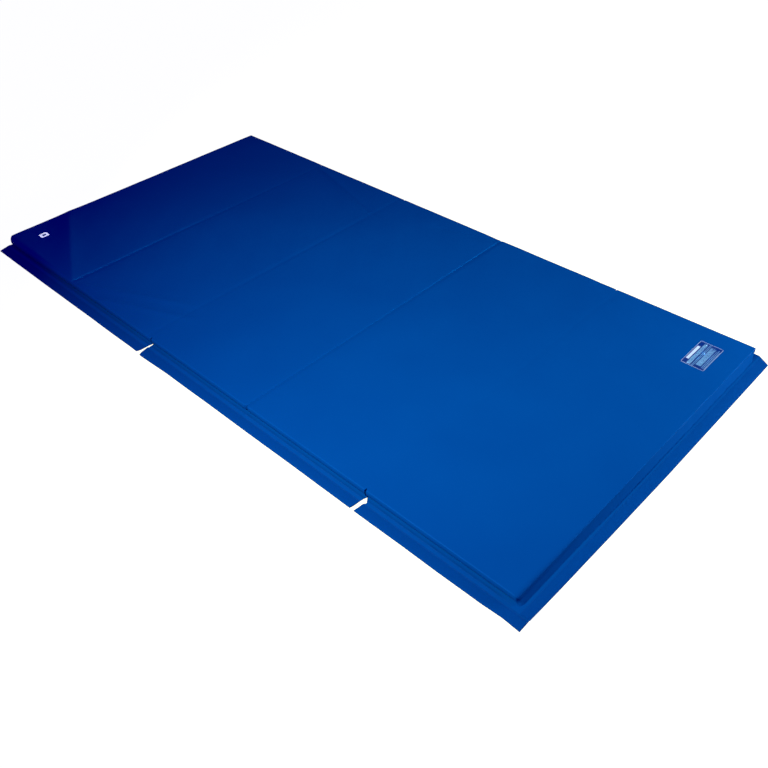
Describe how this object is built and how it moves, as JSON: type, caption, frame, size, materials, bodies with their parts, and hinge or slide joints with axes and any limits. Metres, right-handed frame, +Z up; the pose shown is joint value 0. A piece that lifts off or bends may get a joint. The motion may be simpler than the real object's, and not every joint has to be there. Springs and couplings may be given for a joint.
{
  "type": "folding gym mat",
  "caption": "Accordion-folding gym mat of foam panels in a blue vinyl cover, with hook-and-loop joining flaps on one long side and one end.",
  "frame": {"origin": "on the floor, under the middle of the row of panels, the flaps not counted", "axes": "+X runs along the row from panel 1 to panel 5 and its end flap, -Y faces the side with the flap, +Z is up from the floor"},
  "size_m": [3.1115, 1.5875, 0.0353],
  "materials": {
    "blue_vinyl": "satin",
    "blue_vinyl_underside": "satin",
    "hook_tape": "matte",
    "loop_tape": "matte",
    "foam": "matte",
    "white_tag": "satin",
    "printed_label": "satin"
  },
  "bodies": {
    "panel_1": {"foam_core_1": "foam", "bottom_cover_1": "blue_vinyl_underside", "top_cover_1": "blue_vinyl", "side_loop_tape_1": "loop_tape", "side_flap_1": "blue_vinyl", "side_hook_tape_1": "hook_tape", "end_loop_tape": "loop_tape", "corner_tag": "white_tag"},
    "panel_2": {"foam_core_2": "foam", "bottom_cover_2": "blue_vinyl_underside", "top_cover_2": "blue_vinyl", "side_loop_tape_2": "loop_tape", "side_flap_2": "blue_vinyl", "side_hook_tape_2": "hook_tape", "hinge_web_1": "blue_vinyl_underside"},
    "panel_3": {"foam_core_3": "foam", "bottom_cover_3": "blue_vinyl_underside", "top_cover_3": "blue_vinyl", "side_loop_tape_3": "loop_tape", "side_flap_3": "blue_vinyl", "side_hook_tape_3": "hook_tape", "hinge_web_2": "blue_vinyl"},
    "panel_4": {"foam_core_4": "foam", "bottom_cover_4": "blue_vinyl_underside", "top_cover_4": "blue_vinyl", "side_loop_tape_4": "loop_tape", "side_flap_4": "blue_vinyl", "side_hook_tape_4": "hook_tape", "hinge_web_3": "blue_vinyl_underside"},
    "panel_5": {"foam_core_5": "foam", "bottom_cover_5": "blue_vinyl_underside", "top_cover_5": "blue_vinyl", "side_loop_tape_5": "loop_tape", "side_flap_5": "blue_vinyl", "side_hook_tape_5": "hook_tape", "hinge_web_4": "blue_vinyl", "end_flap": "blue_vinyl", "end_hook_tape": "hook_tape", "care_label": "printed_label"}
  },
  "joints": [
    {"name": "fold_4", "type": "hinge", "parent": "panel_5", "child": "panel_4", "pos_m": [0.9144, 0, 0.036], "axis": [0, 1, 0], "range_deg": [0, 180], "deforming": ["hinge_web_4"]},
    {"name": "fold_3", "type": "hinge", "parent": "panel_4", "child": "panel_3", "pos_m": [0.3048, 0, -0.001], "axis": [0, -1, 0], "range_deg": [0, 180], "deforming": ["hinge_web_3"]},
    {"name": "fold_2", "type": "hinge", "parent": "panel_3", "child": "panel_2", "pos_m": [-0.3048, 0, 0.036], "axis": [0, 1, 0], "range_deg": [0, 180], "deforming": ["hinge_web_2"]},
    {"name": "fold_1", "type": "hinge", "parent": "panel_2", "child": "panel_1", "pos_m": [-0.9144, 0, -0.001], "axis": [0, -1, 0], "range_deg": [0, 180], "deforming": ["hinge_web_1"]}
  ],
  "couplings": [
    {"joint": "fold_3", "follows": "fold_4", "ratio": 1},
    {"joint": "fold_1", "follows": "fold_2", "ratio": 1}
  ]
}
